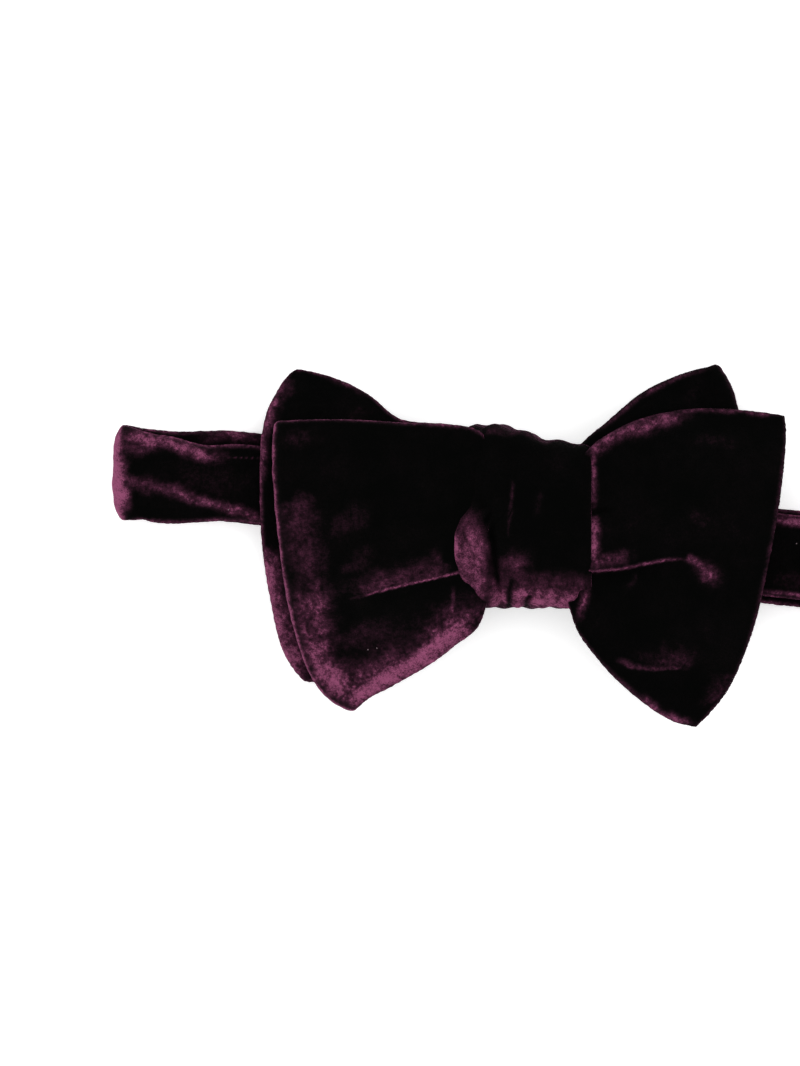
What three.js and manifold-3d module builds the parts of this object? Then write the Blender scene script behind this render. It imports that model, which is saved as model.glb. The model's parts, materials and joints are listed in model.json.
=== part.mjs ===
// Velvet bow tie, lying face up with its neckband closed behind it.
// Millimetres. +X is the wearer's left as the tie is seen, +Y is up the bow, +Z faces the viewer.
// The origin is on the underside of the neckband strap, behind the knot.
import * as THREE from 'three';
import { mergeVertices } from 'three/addons/utils/BufferGeometryUtils.js';
import Module from 'manifold-3d';

const wasm = await Module();
wasm.setup();

// ---- driving dimensions ----------------------------------------------------

const VELVET = 0.9;                   // one velvet ply with its pile
const INTERLINING = 0.5;              // stiffener between two plies
const GAP = 0.3;                      // air between pieces that lie on each other
const STRIP = 2 * VELVET + INTERLINING + 2 * GAP;

const BAND_TILT = THREE.MathUtils.degToRad(-6.6);
const BAND_WIDTH = 21;                // layer behind the bow
const STRAP_WIDTH = 23;               // layer against the collar, a little wider
const BAND_SWAY = 3.3;                // how far the left half of the band bows upwards
const SWAY_START = -109;              // the bow's two ends along the band
const SWAY_LENGTH = 84;
const LEFT_STRAP_LIFT = 2;            // the left strap lies higher than the layer in front of it
const RIGHT_STRAP_LIFT = -0.3;
const FOLD_REACH = 104;               // from the middle to the outside of a side fold
const FOLD_RADIUS = 3.6;              // middle of the strip round a side fold
const FOLD_X = FOLD_REACH - FOLD_RADIUS - STRIP / 2;
const FOLD_GAP = 0.2;                 // between a side fold and the layers it joins
const STRAP_Z = STRIP / 2;
const BAND_Z = STRAP_Z + 2 * FOLD_RADIUS;

const BOW_Y = 1.5;                    // bow outlines are measured from a point this much lower
const ROOT_X = 19;                    // where a wing leaves the knot
const KNOT_HALF_LENGTH = 16.5;
const KNOT_HALF_HEIGHT = 21.9;
const KNOT_BOTTOM = 4.9;
const KNOT_TOP = 24.3;
const KNOT_SEAM_ANGLE = 0.005;        // half of the slit at the back where the wrap's two ends are sewn
const WAIST_HALF_LENGTH = 16.1;
const WAIST_HALF_WIDTH = 13;          // a strip gathered where it enters the knot
const WAIST_Y = -1;
const WAIST_PINCH = 0.18;             // how much narrower still it is in the middle
const LOOP_ROOT_RISE = 2.3;           // a loop's second leaf ends this far over the waist
const LOOP_ROOT_HALF_WIDTH = 12;
const LOOP_ROOT_THICKNESS = 1.1;

const REAR_Z = 12.1;                  // middle of the lowest wing layer, over the band
const WING_FALL = 10.15;              // how far the wings sink beside the band
const FALL_START = 12.5;
const FALL_LENGTH = 27;
const SINK_LENGTH = 26;               // a wing sinks fully only this far out from its root
const LEAF_PITCH = 3.6;               // between the two leaves of one loop
const WING_PITCH = 4.5;               // between a rear wing and the front wing on it

const END_REACH = 2.2;                // how quickly the end's curve fades towards the knot

const SLIDER_X = -48;                 // slider's place along the strap
const SLIDER_TRAVEL = 20;
const SLIDER_LENGTH = 11;
const SLIDER_HUMP = 1.3;              // the strap rides this much higher through the slider
const METAL = 0.8;
const TAIL_THICKNESS = 1.1;
const TAIL_WIDTH = 20;
const HOOK_BAR_X = 20;
const HOOK_BAR_Z = 2.3;
const HOOK_HALF_WIDTH = 9.6;
const TONGUE_HALF_WIDTH = 3.5;
const TONGUE_TOP = 3.4;
const TAPE_HALF_WIDTH = 8;
const HOOK_TAPE_THICKNESS = 1;
const EYE_TAPE_THICKNESS = 0.6;
const EYE_X = 30;                     // near side of the eye ring
const EYE_SLOT = 3.2;
const EYE_BAR = 1.4;
const EYE_Z = 1.95;
const EYE_HALF_WIDTH = 10;

const PLIES = {
  front_velvet: [STRIP / 2 - VELVET, STRIP / 2],
  interlining: [-INTERLINING / 2, INTERLINING / 2],
  back_velvet: [-STRIP / 2, VELVET - STRIP / 2],
};

// ---- materials ---------------------------------------------------------------

const velvet = new THREE.MeshStandardMaterial({ color: 0x2a0f22, roughness: 0.95, metalness: 0 });
const canvas = new THREE.MeshStandardMaterial({ color: 0xd9d2c4, roughness: 0.9, metalness: 0 });
const thread = new THREE.MeshStandardMaterial({ color: 0x1c0a17, roughness: 0.8, metalness: 0 });
const nickel = new THREE.MeshStandardMaterial({ color: 0xb9b6b0, roughness: 0.3, metalness: 1 });

// ---- sheets --------------------------------------------------------------------

function clamp01(value) {
  return Math.min(1, Math.max(0, value));
}

function smooth(value) {
  const t = clamp01(value);
  return t * t * (3 - 2 * t);
}

// Normal of a sheet at (u, v), kept inside the sheet's own range.
function sheetNormal(sheet, u, v) {
  const step = 0.002;
  const alongU = sheet(Math.min(1, u + step), v).sub(sheet(Math.max(0, u - step), v));
  const alongV = sheet(u, Math.min(1, v + step)).sub(sheet(u, Math.max(0, v - step)));
  return alongU.cross(alongV).normalize();
}

// Closed solid between two offsets of a sheet, on a grid of nu by nv cells.
function thicken(sheet, [low, high], nu, nv) {
  const points = [];
  for (const offset of [low, high]) {
    for (let i = 0; i <= nu; i += 1) {
      for (let j = 0; j <= nv; j += 1) {
        const normal = sheetNormal(sheet, i / nu, j / nv);
        points.push(sheet(i / nu, j / nv).addScaledVector(normal, offset));
      }
    }
  }
  const at = (side, i, j) => side * (nu + 1) * (nv + 1) + i * (nv + 1) + j;
  const index = [];
  const quad = (a, b, c, d) => index.push(a, b, c, a, c, d);
  for (let i = 0; i < nu; i += 1) {
    for (let j = 0; j < nv; j += 1) {
      quad(at(1, i, j), at(1, i + 1, j), at(1, i + 1, j + 1), at(1, i, j + 1));
      quad(at(0, i, j), at(0, i, j + 1), at(0, i + 1, j + 1), at(0, i + 1, j));
    }
  }
  for (let i = 0; i < nu; i += 1) {
    quad(at(0, i, 0), at(0, i + 1, 0), at(1, i + 1, 0), at(1, i, 0));
    quad(at(0, i + 1, nv), at(0, i, nv), at(1, i, nv), at(1, i + 1, nv));
  }
  for (let j = 0; j < nv; j += 1) {
    quad(at(0, 0, j + 1), at(0, 0, j), at(1, 0, j), at(1, 0, j + 1));
    quad(at(0, nu, j), at(0, nu, j + 1), at(1, nu, j + 1), at(1, nu, j));
  }
  const geometry = new THREE.BufferGeometry().setFromPoints(points);
  geometry.setIndex(index);
  return geometry;
}

function addMesh(group, name, geometry, material) {
  const mesh = new THREE.Mesh(geometry, material);
  mesh.name = name;
  group.add(mesh);
  return mesh;
}

// The three plies of a sewn strip: velvet, interlining, velvet.
function addStrip(group, name, sheet, nu, nv) {
  for (const [ply, offsets] of Object.entries(PLIES)) {
    const material = ply === 'interlining' ? canvas : velvet;
    addMesh(group, `${name}_${ply}`, thicken(sheet, offsets, nu, nv), material);
  }
}

// ---- booleans ------------------------------------------------------------------

function toSolid(geometry) {
  const bare = geometry.clone();
  bare.deleteAttribute('normal');
  bare.deleteAttribute('uv');
  const merged = mergeVertices(bare, 1e-4);
  const vertProperties = new Float32Array(merged.attributes.position.array);
  const triVerts = new Uint32Array(merged.index.array);
  return new wasm.Manifold(new wasm.Mesh({ numProp: 3, vertProperties, triVerts }));
}

function fromSolid(solid) {
  const mesh = solid.getMesh();
  const geometry = new THREE.BufferGeometry();
  geometry.setAttribute('position', new THREE.BufferAttribute(mesh.vertProperties, 3));
  geometry.setIndex(new THREE.BufferAttribute(mesh.triVerts, 1));
  return geometry;
}

// Block from its two corners.
function block(x0, y0, z0, x1, y1, z1) {
  const box = new THREE.BoxGeometry(x1 - x0, y1 - y0, z1 - z0);
  box.translate((x0 + x1) / 2, (y0 + y1) / 2, (z0 + z1) / 2);
  return toSolid(box);
}

function joined(solids) {
  return fromSolid(solids.reduce((whole, solid) => whole.add(solid)));
}

// ---- wings -----------------------------------------------------------------------

// Height of the lowest wing layer: over the band it lies on the band, beside it it sinks.
function drape(x, y) {
  const bandY = -BOW_Y + Math.tan(BAND_TILT) * x;
  const beside = clamp01((Math.abs(y - bandY) - FALL_START) / FALL_LENGTH);
  const fall = WING_FALL * Math.sin((Math.PI / 2) * beside) ** 2;
  return REAR_Z - fall * smooth((Math.abs(x) - ROOT_X) / SINK_LENGTH);
}

function curve(points) {
  return new THREE.SplineCurve(points.map(([x, y]) => new THREE.Vector2(x, y)));
}

// A wing's outline: two edges from the knot outwards, and an end from the lower to the upper corner.
function outline(lower, upper, end) {
  const [bottom, top, side] = [lower, upper, end].map(curve);
  return (u, v) => {
    const straight = bottom.getPoint(1).lerp(top.getPoint(1), v);
    const bow = side.getPoint(v).sub(straight).multiplyScalar(u ** END_REACH);
    return bottom.getPoint(u).lerp(top.getPoint(u), v).add(bow);
  };
}

// Single leaf, `lift` above the drape.
function leaf(shape, lift) {
  return (u, v) => {
    const { x, y } = shape(u, v);
    return new THREE.Vector3(x, y, drape(x, y) + lift);
  };
}

// Loop: the upper leaf runs out from the knot, folds, and the lower leaf runs back.
function loop(shape, lift) {
  const radius = LEAF_PITCH / 2;
  const turnStart = 0.4;
  const turnEnd = 0.6;
  return (u, v) => {
    const length = shape(1, v).distanceTo(shape(0.95, v)) / 0.05;
    const reach = 1 - (radius + STRIP / 2) / length;
    if (u < turnStart) return leaf(shape, lift + LEAF_PITCH)((u / turnStart) * reach, v);
    if (u > turnEnd) return leaf(shape, lift)(((1 - u) / (1 - turnEnd)) * reach, v);
    const angle = Math.PI * (0.5 - (u - turnStart) / (turnEnd - turnStart));
    const edge = shape(reach, v);
    const outward = shape(reach, v).sub(shape(reach - 0.05, v)).normalize();
    const out = radius * Math.cos(angle);
    const height = drape(edge.x, edge.y) + lift + radius + radius * Math.sin(angle);
    return new THREE.Vector3(edge.x + outward.x * out, edge.y + outward.y * out, height);
  };
}

// Turns a sheet over so that its front face is the one that looks up.
function flipped(sheet) {
  return (u, v) => sheet(u, 1 - v);
}

const LEFT_FRONT = outline(
  [[-ROOT_X, -32], [-26.2, -37.4], [-35, -42.8], [-44, -49]],
  [[-ROOT_X, 23.8], [-31, 24.6], [-47, 25], [-63.4, 24.6]],
  [[-44, -49], [-51.2, -42], [-56.2, -33], [-59.4, -20], [-61.4, -6], [-62.8, 10], [-63.4, 24.6]],
);
const RIGHT_FRONT = outline(
  [[ROOT_X, -35.7], [28.7, -45], [36.2, -50], [43, -52]],
  [[ROOT_X, 20], [28.7, 25], [43.7, 27.5], [65.3, 26.4]],
  [[43, -52], [50.7, -42.4], [56, -29], [59.8, -14], [62.8, 2], [65.3, 26.4]],
);
const LEFT_REAR = outline(
  [[-ROOT_X, -26], [-31, -34], [-44, -39.5], [-55.6, -41.2]],
  [[-ROOT_X, 22], [-31, 25], [-39, 31], [-48, 35.6], [-59, 38.4]],
  [[-55.6, -41.2], [-61, -32], [-64, -18], [-66, -3], [-66.3, 13], [-65.4, 26], [-59, 38.4]],
);
const RIGHT_REAR = outline(
  [[ROOT_X, -24], [31, -31.5], [46, -36]],
  [[ROOT_X, 22.5], [28.7, 31], [38.7, 36.4], [49.6, 39.4]],
  [[46, -36], [54.5, -24], [57.5, -6], [57.2, 12], [54.4, 27], [49.6, 39.4]],
);

function addWings(bow) {
  addStrip(bow, 'left_rear_end', flipped(leaf(LEFT_REAR, 0)), 8, 12);
  addStrip(bow, 'right_rear_loop', loop(RIGHT_REAR, 0), 15, 12);
  addStrip(bow, 'left_front_loop', flipped(loop(LEFT_FRONT, WING_PITCH)), 15, 12);
  addStrip(bow, 'right_front_end', leaf(RIGHT_FRONT, LEAF_PITCH + WING_PITCH), 8, 12);
}

// ---- knot ------------------------------------------------------------------------

// Squarish ring round the middle of the bow, `inset` inside its outer face, open at the seam.
function knotRing(inset) {
  const halfHeight = KNOT_HALF_HEIGHT - inset;
  const halfDepth = (KNOT_TOP - KNOT_BOTTOM) / 2 - inset;
  const middle = (KNOT_TOP + KNOT_BOTTOM) / 2;
  const squared = (value) => Math.sign(value) * Math.sqrt(Math.abs(value));
  return (u, v) => {
    const angle = -Math.PI / 2 + KNOT_SEAM_ANGLE + u * 2 * (Math.PI - KNOT_SEAM_ANGLE);
    const x = THREE.MathUtils.lerp(-KNOT_HALF_LENGTH, KNOT_HALF_LENGTH, v);
    const y = halfHeight * squared(Math.cos(angle));
    return new THREE.Vector3(x, y, middle + halfDepth * squared(Math.sin(angle)));
  };
}

// A strip where it runs through the knot, gathered narrower in its middle.
function waist(halfWidth, z) {
  return (u, v) => {
    const pinch = 1 - WAIST_PINCH * Math.sin(Math.PI * u);
    const x = THREE.MathUtils.lerp(-WAIST_HALF_LENGTH, WAIST_HALF_LENGTH, u);
    return new THREE.Vector3(x, WAIST_Y + (2 * v - 1) * halfWidth * pinch, z);
  };
}

function addKnot(bow) {
  const ringPlies = {
    knot_velvet: [0, VELVET, velvet],
    knot_interlining: [VELVET + GAP, INTERLINING, canvas],
  };
  for (const [name, [inset, thickness, material]] of Object.entries(ringPlies)) {
    const ply = [-thickness / 2, thickness / 2];
    addMesh(bow, name, thicken(knotRing(inset + thickness / 2), ply, 24, 3), material);
  }
  const seam = block(-KNOT_HALF_LENGTH, -0.4, KNOT_BOTTOM + 0.1, KNOT_HALF_LENGTH, 0.4, KNOT_BOTTOM + 1.6);
  addMesh(bow, 'knot_seam_stitches', fromSolid(seam), thread);
  const rootPly = [-LOOP_ROOT_THICKNESS / 2, LOOP_ROOT_THICKNESS / 2];
  for (const [place, z] of [['rear', REAR_Z], ['front', REAR_Z + WING_PITCH]]) {
    addStrip(bow, `${place}_waist`, waist(WAIST_HALF_WIDTH, z), 4, 3);
    const root = waist(LOOP_ROOT_HALF_WIDTH, z + LOOP_ROOT_RISE);
    addMesh(bow, `${place}_loop_root`, thicken(root, rootPly, 4, 3), velvet);
  }
}

// ---- neckband ----------------------------------------------------------------------

// How much higher the strap lies where the slider runs on it.
function hump(x) {
  const from = SLIDER_X - SLIDER_LENGTH / 2 - 1;
  const to = SLIDER_X + SLIDER_TRAVEL + SLIDER_LENGTH / 2 + 1;
  return SLIDER_HUMP * smooth((x - from + 6) / 6) * smooth((to + 6 - x) / 6);
}

// How far the band lies above its straight line, in its left half.
function sway(x) {
  return BAND_SWAY * Math.sin(Math.PI * clamp01((x - SWAY_START) / SWAY_LENGTH)) ** 2;
}

function frontLayer(u, v) {
  const x = THREE.MathUtils.lerp(-FOLD_X, FOLD_X, u);
  return new THREE.Vector3(x, sway(x) + (v - 0.5) * BAND_WIDTH, BAND_Z);
}

// The left strap follows the sway beside the bow and runs straight behind it, for the slider.
function leftStrap(u, v) {
  const x = THREE.MathUtils.lerp(-FOLD_X + FOLD_GAP, HOOK_BAR_X - 2.6, u);
  const shift = (LEFT_STRAP_LIFT + 0.6 * sway(x)) * smooth((SLIDER_X - 10 - x) / 8);
  return new THREE.Vector3(x, shift + (v - 0.5) * STRAP_WIDTH, STRAP_Z + hump(x));
}

function rightStrap(u, v) {
  const x = THREE.MathUtils.lerp(EYE_X + EYE_SLOT + 2 * EYE_BAR + 2, FOLD_X - FOLD_GAP, u);
  return new THREE.Vector3(x, RIGHT_STRAP_LIFT + (v - 0.5) * STRAP_WIDTH, STRAP_Z);
}

// Half turn of the band at its left (side -1) or right (side +1) end.
function sideFold(side, strapLift) {
  return (u, v) => {
    const angle = Math.PI * (0.5 - u);
    const width = THREE.MathUtils.lerp(BAND_WIDTH, STRAP_WIDTH, u);
    const x = side * (FOLD_X + FOLD_GAP + FOLD_RADIUS * Math.cos(angle));
    const bow = sway(side * FOLD_X) * THREE.MathUtils.lerp(1, 0.6, u);
    const y = bow + strapLift * smooth(u) + side * (v - 0.5) * width;
    return new THREE.Vector3(x, y, STRAP_Z + FOLD_RADIUS + FOLD_RADIUS * Math.sin(angle));
  };
}

// Small turn of thin tape round a bar along Y, from the bar's underside round to its top.
function tapeTurn(barX, barZ, side, radius) {
  return (u, v) => {
    const angle = Math.PI * (0.5 - u) * 1.1;
    const x = barX + side * radius * Math.cos(angle);
    return new THREE.Vector3(x, side * (2 * v - 1) * TAPE_HALF_WIDTH, barZ + radius * Math.sin(angle));
  };
}

// End of the strap folded back: from the hook it returns over the strap to the slider's bar.
function tail(u, v) {
  const x = THREE.MathUtils.lerp(SLIDER_X + 2.4, HOOK_BAR_X - 3.2, u);
  const z = STRIP + GAP + TAIL_THICKNESS / 2 + hump(x) + 0.05;
  return new THREE.Vector3(x, (v - 0.5) * TAIL_WIDTH, z);
}

function addBand(band) {
  addStrip(band, 'band', frontLayer, 40, 1);
  const foldPly = [-STRIP / 2, STRIP / 2];
  addMesh(band, 'left_side_fold', thicken(sideFold(-1, LEFT_STRAP_LIFT), foldPly, 8, 1), velvet);
  addMesh(band, 'right_side_fold', thicken(sideFold(1, RIGHT_STRAP_LIFT), foldPly, 8, 1), velvet);
  addStrip(band, 'left_strap', leftStrap, 30, 1);
  addStrip(band, 'right_strap', rightStrap, 4, 1);
  const hookPly = [-HOOK_TAPE_THICKNESS / 2, HOOK_TAPE_THICKNESS / 2];
  const eyePly = [-EYE_TAPE_THICKNESS / 2, EYE_TAPE_THICKNESS / 2];
  const tailPly = [-TAIL_THICKNESS / 2, TAIL_THICKNESS / 2];
  addMesh(band, 'hook_tape', thicken(tapeTurn(HOOK_BAR_X, HOOK_BAR_Z, 1, 1.5), hookPly, 8, 1), velvet);
  const eyeBarX = EYE_X + EYE_SLOT + 1.5 * EYE_BAR;
  addMesh(band, 'eye_tape', thicken(tapeTurn(eyeBarX, EYE_Z, -1, 1.3), eyePly, 8, 1), velvet);
  addMesh(band, 'strap_tail', thicken(tail, tailPly, 22, 1), velvet);
}

// ---- metal fittings -------------------------------------------------------------------

// Slider: two end bars under the strap, a middle bar over it and two side rails.
function sliderFrame() {
  const inside = STRAP_WIDTH / 2 + 0.6;
  const outside = inside + 1.2;
  const half = SLIDER_LENGTH / 2;
  const barZ = STRIP + SLIDER_HUMP + GAP;
  return joined([
    block(-half, -outside, 0.1, -half + 1.6, outside, 0.1 + METAL),
    block(half - 1.6, -outside, 0.1, half, outside, 0.1 + METAL),
    block(-half, -outside, 0.1, half, -inside, barZ + METAL),
    block(-half, inside, 0.1, half, outside, barZ + METAL),
    block(-0.8, -outside, barZ, 0.8, outside, barZ + METAL),
  ]);
}

// Hook: a bar for the strap, two arms, and a tongue that runs under the eye and turns up in it.
function hook() {
  const half = HOOK_HALF_WIDTH;
  const bar = 0.55;
  const arm = 1.3;
  const barX = HOOK_BAR_X;
  const barTop = HOOK_BAR_Z + bar;
  const low = 0.3;
  const farX = barX + 5.6;
  const crossX = barX + 4;
  const tipX = EYE_X + EYE_BAR + 1;
  const tongue = TONGUE_HALF_WIDTH;
  return joined([
    block(barX - bar, -half, HOOK_BAR_Z - bar, barX + bar, half, barTop),
    block(barX - bar, -half, low, farX, -half + arm, barTop),
    block(barX - bar, half - arm, low, farX, half, barTop),
    block(crossX, -half, low, farX, half, low + METAL),
    block(crossX, -tongue, low, tipX + METAL, tongue, low + METAL),
    block(tipX, -tongue, low, tipX + METAL, tongue, TONGUE_TOP),
  ]);
}

// Eye: a rectangular ring with one slot for the hook's tongue and one for its tape.
function eyeRing() {
  const half = EYE_HALF_WIDTH;
  const z0 = EYE_Z - 0.5;
  const z1 = EYE_Z + 0.5;
  const end = EYE_X + EYE_SLOT + 2 * EYE_BAR;
  return joined([
    block(EYE_X, -half, z0, EYE_X + EYE_BAR, half, z1),
    block(end - EYE_BAR, -half, z0, end, half, z1),
    block(EYE_X, -half, z0, end, -half + EYE_BAR, z1),
    block(EYE_X, half - EYE_BAR, z0, end, half, z1),
  ]);
}

function addFittings(band) {
  const slider = addMesh(band, 'slider', sliderFrame(), nickel);
  slider.position.x = SLIDER_X;
  addMesh(band, 'hook', hook(), nickel);
  addMesh(band, 'eye_ring', eyeRing(), nickel);
}

// ---- the whole tie ----------------------------------------------------------------------

const bowTie = new THREE.Group();
const bow = new THREE.Group();
bow.position.y = BOW_Y;
const band = new THREE.Group();
band.rotation.z = BAND_TILT;
bowTie.add(bow, band);

addWings(bow);
addKnot(bow);
addBand(band);
addFittings(band);

export default bowTie;
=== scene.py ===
import itertools
import json
import math

import bmesh
import bpy
import numpy as np
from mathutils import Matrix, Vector


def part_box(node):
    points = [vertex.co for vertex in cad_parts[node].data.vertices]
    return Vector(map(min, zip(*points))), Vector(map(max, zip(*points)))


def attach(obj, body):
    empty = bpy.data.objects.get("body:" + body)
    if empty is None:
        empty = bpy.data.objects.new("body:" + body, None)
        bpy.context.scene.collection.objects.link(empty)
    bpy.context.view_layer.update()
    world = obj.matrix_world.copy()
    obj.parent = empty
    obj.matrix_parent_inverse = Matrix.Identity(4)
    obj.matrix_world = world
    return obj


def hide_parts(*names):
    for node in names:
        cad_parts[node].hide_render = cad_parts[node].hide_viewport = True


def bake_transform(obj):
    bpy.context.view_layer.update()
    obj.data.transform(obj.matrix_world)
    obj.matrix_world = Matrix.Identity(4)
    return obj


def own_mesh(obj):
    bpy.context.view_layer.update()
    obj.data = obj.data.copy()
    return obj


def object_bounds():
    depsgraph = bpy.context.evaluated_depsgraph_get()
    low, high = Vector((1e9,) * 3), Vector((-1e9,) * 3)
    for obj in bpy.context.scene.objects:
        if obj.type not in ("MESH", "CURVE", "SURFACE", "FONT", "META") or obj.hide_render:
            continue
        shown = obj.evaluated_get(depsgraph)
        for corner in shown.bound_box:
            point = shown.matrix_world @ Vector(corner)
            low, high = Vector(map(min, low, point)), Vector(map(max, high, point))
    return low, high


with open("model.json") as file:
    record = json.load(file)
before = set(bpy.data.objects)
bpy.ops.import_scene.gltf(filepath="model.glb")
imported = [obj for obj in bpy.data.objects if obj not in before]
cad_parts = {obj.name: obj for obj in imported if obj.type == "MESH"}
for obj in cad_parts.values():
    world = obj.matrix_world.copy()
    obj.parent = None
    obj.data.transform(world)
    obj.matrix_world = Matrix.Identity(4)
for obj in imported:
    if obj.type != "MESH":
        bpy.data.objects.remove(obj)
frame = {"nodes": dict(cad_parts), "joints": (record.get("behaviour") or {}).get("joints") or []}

CAD_LOW, CAD_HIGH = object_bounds()
MM = 0.001

# ---- sizes from the frame ---------------------------------------------------------


def box_mm(node):
    low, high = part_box(node)
    return np.array(low) / MM, np.array(high) / MM


def joint_named(name):
    return next(j for j in frame["joints"] if j["name"] == name)


BAND_TOP = box_mm("band_front_velvet")[1][2]
STRIP = BAND_TOP - box_mm("band_back_velvet")[0][2]
BAND_Z = BAND_TOP - STRIP / 2
STRAP_Z = STRIP / 2


def waist_height(name):
    """Height of the middle of one strip where it passes through the knot."""
    top = box_mm(f"{name}_front_velvet")[1][2]
    bottom = box_mm(f"{name}_back_velvet")[0][2]
    return (top + bottom) / 2


REAR_Z = waist_height("rear_waist")
WING_PITCH = waist_height("front_waist") - REAR_Z
LEAF_PITCH = 3.6         # from one leaf of a folded loop to the other
KNOT_LOW, KNOT_HIGH = box_mm("knot_velvet")
BOW_Y = (KNOT_LOW[1] + KNOT_HIGH[1]) / 2
SPAN_AXIS = np.array(joint_named("slider_slide")["axis"][:2], float)
ACROSS_AXIS = np.array([-SPAN_AXIS[1], SPAN_AXIS[0]])
BAND_SLOPE = SPAN_AXIS[1] / SPAN_AXIS[0]
FOLD_X = abs(np.array(joint_named("left_strap_open")["pos_m"][:2]) @ SPAN_AXIS) / MM
FOLD_RADIUS = (BAND_Z - STRAP_Z) / 2
BAND_WIDTH = 21.0
STRAP_WIDTH = 23.0
CORNER_CUT = 2.6         # how far the corners of a side fold are rounded off
SLIDER_REST = np.mean([corner[:2] for corner in box_mm("slider")], 0) @ SPAN_AXIS
SLIDER_TRAVEL = joint_named("slider_slide")["range_m"][1] / MM
ROOT_X = abs(joint_named("left_front_wing_lift")["pos_m"][0]) / MM
TUCK_X = 9.0             # the wings' roots run this near the middle of the knot
KNOT_THICKNESS = 2.0
TAIL_THICKNESS = 1.1
TAIL_WIDTH = 20.0
TAPE_WIDTH = 16.0
HOOK_BAR_X = 20.0
LEFT_STRAP_END_X = HOOK_BAR_X - 2.6
RIGHT_STRAP_END_X = 38.0
LEFT_STRAP_LIFT = 2.0    # how far up the bow each strap lies from the band's middle line
RIGHT_STRAP_LIFT = -0.3
SLIDER_ROOM = 6.5        # raised length of strap past each end of the slider's travel
SLIDER_HUMP = 1.3
FALL_START = 12.5        # the wings lie level this far from the band's middle line
FALL_LENGTH = 27.0       # and sink over this distance
WING_FALL = 10.15
METAL_EDGE = 0.22

# ---- small tools --------------------------------------------------------------------


def smooth(low, high, value):
    t = np.clip((value - low) / (high - low), 0, 1)
    return t * t * (3 - 2 * t)


def bell(x, y, centre, size, turn=0.0):
    """Soft bump of height 1 round a centre, with a size along and across a turned axis."""
    c, s = math.cos(turn), math.sin(turn)
    dx, dy = x - centre[0], y - centre[1]
    along, across = dx * c + dy * s, dy * c - dx * s
    return np.exp(-((along / size[0]) ** 2) - (across / size[1]) ** 2)


def near_path(x, y, path):
    """Distance from a path of straight pieces, the side of it (above is positive) and the share
    along it."""
    p = np.array(path, float)
    lengths = np.linalg.norm(np.diff(p, axis=0), axis=1)
    total = lengths.sum()
    best = np.full(np.shape(x), 1e9)
    side = np.zeros(np.shape(x))
    share = np.zeros(np.shape(x))
    start = 0.0
    for (ax, ay), (bx, by), length in zip(p[:-1], p[1:], lengths):
        dx, dy = (bx - ax) / length, (by - ay) / length
        along = np.clip((x - ax) * dx + (y - ay) * dy, 0, length)
        gap_x, gap_y = x - ax - along * dx, y - ay - along * dy
        distance = np.hypot(gap_x, gap_y)
        closer = distance < best
        best = np.where(closer, distance, best)
        side = np.where(closer, np.sign(gap_y + 1e-9), side)
        share = np.where(closer, (start + along) / total, share)
        start += length
    return best, side, share


def stroke(x, y, path, width, strength, above=None):
    """Soft-edged brush mark along a path. above is the width on its upper side where that
    differs."""
    distance, side, share = near_path(x, y, path)
    reach = np.where(side > 0, width if above is None else above, width)
    ends = smooth(-0.02, 0.12, share) * (1 - 0.6 * smooth(0.8, 1.0, share))
    return strength * ends * np.exp(-((distance / reach) ** 2))


def strongest(marks):
    return np.maximum.reduce(marks)


def spline(points, t):
    """Smooth curve through the points, with t from 0 to 1 spaced evenly over them."""
    p = np.array(points, float)
    padded = np.vstack([2 * p[0] - p[1], p, 2 * p[-1] - p[-2]])
    s = np.clip(np.asarray(t, float), 0, 1) * (len(p) - 1)
    i = np.minimum(s.astype(int), len(p) - 2)
    f = (s - i)[..., None]
    a, b, c, d = (padded[i + k] for k in range(4))
    bend = (2 * a - 5 * b + 4 * c - d) * f**2
    twist = (3 * b - a - 3 * c + d) * f**3
    return 0.5 * (2 * b + (c - a) * f + bend + twist)


LATTICE = np.random.default_rng(5).normal(size=(4096, 3))
LATTICE /= np.linalg.norm(LATTICE, axis=1, keepdims=True)


def rumple(points, scale, seed):
    """Smooth noise between about -1 and 1 at each point, with features of the given size."""
    p = points / scale + seed * 17.3
    cell = np.floor(p).astype(np.int64)
    f = p - cell
    w = f**3 * (f * (f * 6 - 15) + 10)
    total = 0.0
    for corner in itertools.product((0, 1), repeat=3):
        at = cell + corner
        pick = (at[..., 0] * 73856093 ^ at[..., 1] * 19349663 ^ at[..., 2] * 83492791) % len(LATTICE)
        slope = (LATTICE[pick] * (f - corner)).sum(-1)
        total = total + slope * np.where(corner, w, 1 - w).prod(-1)
    return 1.6 * total


def tousled(points, seed):
    """The points' x and y, moved about so that the marks of pushed-over pile and painted sheen get
    ragged edges.
    """
    pushed = [
        points[..., k] + 2.6 * rumple(points, 8, seed + k) + 1.3 * rumple(points, 2.8, seed + k + 2)
        for k in (0, 1)
    ]
    return pushed[0], pushed[1] - BOW_Y


def normals(grid, wrap=False):
    """Unit normals of a grid of points (rows along u, columns along v)."""
    if wrap:
        du = np.roll(grid, -1, 0) - np.roll(grid, 1, 0)
    else:
        du = np.gradient(grid, axis=0)
    dv = np.gradient(grid, axis=1)
    n = np.cross(du, dv)
    return n / np.maximum(np.linalg.norm(n, axis=-1, keepdims=True), 1e-9)


def link_object(name, data):
    made = bpy.data.objects.new(name, data)
    bpy.context.scene.collection.objects.link(made)
    return made


def smooth_faces(mesh):
    mesh.polygons.foreach_set("use_smooth", [True] * len(mesh.polygons))


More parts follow.
